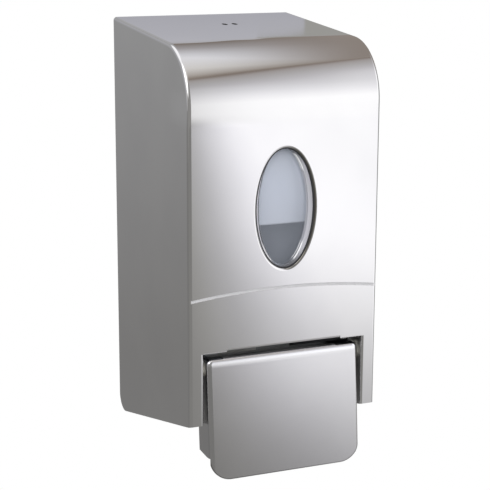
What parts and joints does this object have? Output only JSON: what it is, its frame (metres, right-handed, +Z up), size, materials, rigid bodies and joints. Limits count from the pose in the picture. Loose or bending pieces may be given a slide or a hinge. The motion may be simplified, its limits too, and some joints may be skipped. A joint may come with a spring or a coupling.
{
  "type": "wall soap dispenser",
  "caption": "Wall soap dispenser: hinged polished steel cover with an oval window and a push lever, over a tank and a piston pump.",
  "frame": {"origin": "middle of the wall screw pattern, on the wall face of the wall plate", "axes": "+Z up along the wall, +Y into the wall, so the front looks towards -Y, +X to the right as seen from the front"},
  "size_m": [0.11, 0.1269, 0.2386],
  "materials": {
    "polished_steel": "polished stainless sheet, soft mirror",
    "satin_steel": "satin stainless sheet",
    "plain_steel": "plain turned or bent steel",
    "spring_steel": "drawn wire",
    "grey_plastic": "moulded, fine spark texture",
    "white_plastic": "moulded, half gloss",
    "white_nylon": "moulded nylon",
    "black_nylon": "moulded black nylon",
    "milky_plastic": "blow moulded, milky",
    "clear_lens": "clear moulded plastic with a bevel",
    "dark_seal": "matt rubber",
    "soft_valve": "silicone rubber"
  },
  "bodies": {
    "chassis": {"wall_plate": "grey_plastic", "tank_shelf": "grey_plastic", "shelf_screws": "plain_steel", "reservoir": "milky_plastic", "reservoir_lid": "milky_plastic", "spigot_ring_seal": "dark_seal", "pump_body": "white_plastic", "pump_cap": "grey_plastic", "pump_screws": "plain_steel", "inlet_valve": "soft_valve", "nozzle": "white_plastic", "outlet_valve": "soft_valve", "return_spring": "spring_steel", "latch_spring": "spring_steel"},
    "cover": {"cover_shell": "polished_steel", "hinge_studs": "plain_steel", "cover_catch": "plain_steel", "window_gasket": "dark_seal", "window_lens": "clear_lens", "lever_pin": "plain_steel", "pin_clips": "spring_steel"},
    "lever": {"push_lever": "satin_steel", "lever_bushes": "white_nylon", "lever_pusher": "grey_plastic"},
    "plunger": {"plunger": "white_plastic", "piston_ring": "dark_seal"},
    "latch": {"latch_bolt": "black_nylon"}
  },
  "joints": [
    {"name": "cover_hinge", "type": "hinge", "parent": "chassis", "child": "cover", "pos_m": [0, -0.01, -0.09827], "axis": [1, 0, 0], "range_deg": [0, 88]},
    {"name": "lever_press", "type": "hinge", "parent": "cover", "child": "lever", "pos_m": [0, -0.1111, -0.0507], "axis": [1, 0, 0], "range_deg": [0, 15]},
    {"name": "plunger_slide", "type": "slide", "parent": "chassis", "child": "plunger", "axis": [0, 1, 0], "range_m": [0, 0.008], "stiffness_N_per_m": 250, "springref_m": -0.016, "deforming": ["return_spring"]},
    {"name": "latch_press", "type": "slide", "parent": "chassis", "child": "latch", "axis": [0, 0, 1], "range_m": [0, 0.006], "stiffness_N_per_m": 300, "springref_m": 0.012, "deforming": ["latch_spring"]}
  ],
  "couplings": [
    {"joint": "plunger_slide", "follows": "lever_press", "m_per_rad": 0.03032}
  ]
}
